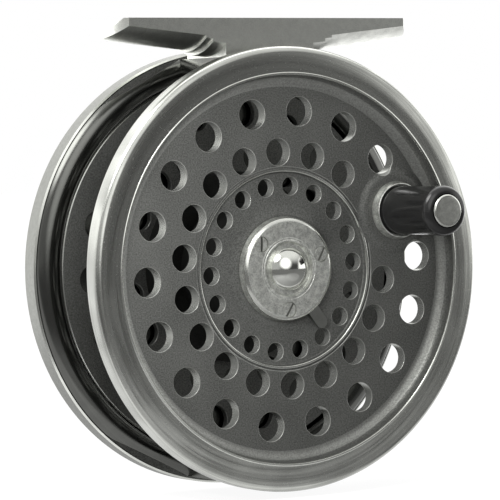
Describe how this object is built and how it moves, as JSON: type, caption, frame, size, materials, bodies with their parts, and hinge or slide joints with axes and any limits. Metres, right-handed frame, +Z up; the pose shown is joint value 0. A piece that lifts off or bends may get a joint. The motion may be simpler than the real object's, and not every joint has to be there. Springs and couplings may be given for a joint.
{
  "type": "fly reel",
  "caption": "Caged fly reel with a perforated exposed-rim spool, a side handle, a latched hub, a pawl click and a hollow-topped foot for a rod's seat.",
  "frame": {"origin": "middle of the foot's top, where the rod lies", "axes": "+Z up from the reel into the rod, +Y from the handle side to the back plate along the spool's axis, +X along the rod"},
  "size_m": [0.092, 0.0514, 0.098],
  "materials": {
    "frame_satin": "dark satin anodised",
    "foot_satin": "satin",
    "screw_steel": "bright",
    "spindle_steel": "ground",
    "spring_steel": "blued",
    "plate_alloy": "machined",
    "spool_dark": "dark anodised web, polished rim",
    "bush_brass": "machined",
    "cap_alloy": "brushed",
    "dome_chrome": "polished",
    "grip_black": "gloss"
  },
  "bodies": {
    "frame": {"frame": "frame_satin", "foot": "foot_satin", "foot_screws": "screw_steel", "spindle": "spindle_steel", "spindle_screw": "screw_steel", "click_plate": "plate_alloy", "click_plate_screws": "screw_steel", "click_posts": "spindle_steel", "pawl_spring_left": "spring_steel", "pawl_spring_right": "spring_steel"},
    "spool": {"spool_face": "spool_dark", "spool_drum": "spool_dark", "gear_cup": "spool_dark", "spool_rear_flange": "spool_dark", "spool_bush": "bush_brass", "ratchet_wheel": "spindle_steel", "ratchet_screws": "screw_steel", "hub_cap": "cap_alloy", "cap_screws": "screw_steel", "hub_dome": "dome_chrome", "latch_pivot": "spindle_steel", "latch_spring": "spring_steel", "handle_ferrule": "cap_alloy", "handle_pin": "cap_alloy"},
    "latch": {"latch_lever": "spindle_steel"},
    "grip": {"handle_grip": "grip_black"},
    "pawl_left": {"pawl_left": "spindle_steel"},
    "pawl_right": {"pawl_right": "spindle_steel"},
    "regulator": {"regulator_shaft": "spindle_steel", "regulator_knob": "plate_alloy"}
  },
  "joints": [
    {"name": "spool_spin", "type": "hinge", "parent": "frame", "child": "spool", "pos_m": [0, 0, -0.052], "axis": [0, 1, 0], "continuous": true},
    {"name": "grip_spin", "type": "hinge", "parent": "spool", "child": "grip", "pos_m": [0.02737, -0.02225, -0.04061], "axis": [0, 1, 0], "continuous": true},
    {"name": "latch_press", "type": "hinge", "parent": "spool", "child": "latch", "pos_m": [0, -0.01225, -0.0455], "axis": [0, 1, 0], "range_deg": [0, 6.5], "stiffness_Nm_per_rad": 0.02, "springref_deg": -5.73, "deforming": ["latch_spring"]},
    {"name": "pawl_left_lift", "type": "hinge", "parent": "frame", "child": "pawl_left", "pos_m": [-0.0122, 0.00995, -0.046], "axis": [0, 1, 0], "range_deg": [0, 10], "stiffness_Nm_per_rad": 0.02, "springref_deg": -5.73, "deforming": ["pawl_spring_left"]},
    {"name": "pawl_right_lift", "type": "hinge", "parent": "frame", "child": "pawl_right", "pos_m": [0.0122, 0.00995, -0.046], "axis": [0, -1, 0], "range_deg": [0, 10], "stiffness_Nm_per_rad": 0.02, "springref_deg": -5.73, "deforming": ["pawl_spring_right"]},
    {"name": "regulator_turn", "type": "hinge", "parent": "frame", "child": "regulator", "pos_m": [0, 0.01575, -0.0653], "axis": [0, 1, 0], "range_deg": [-30, 30]}
  ]
}
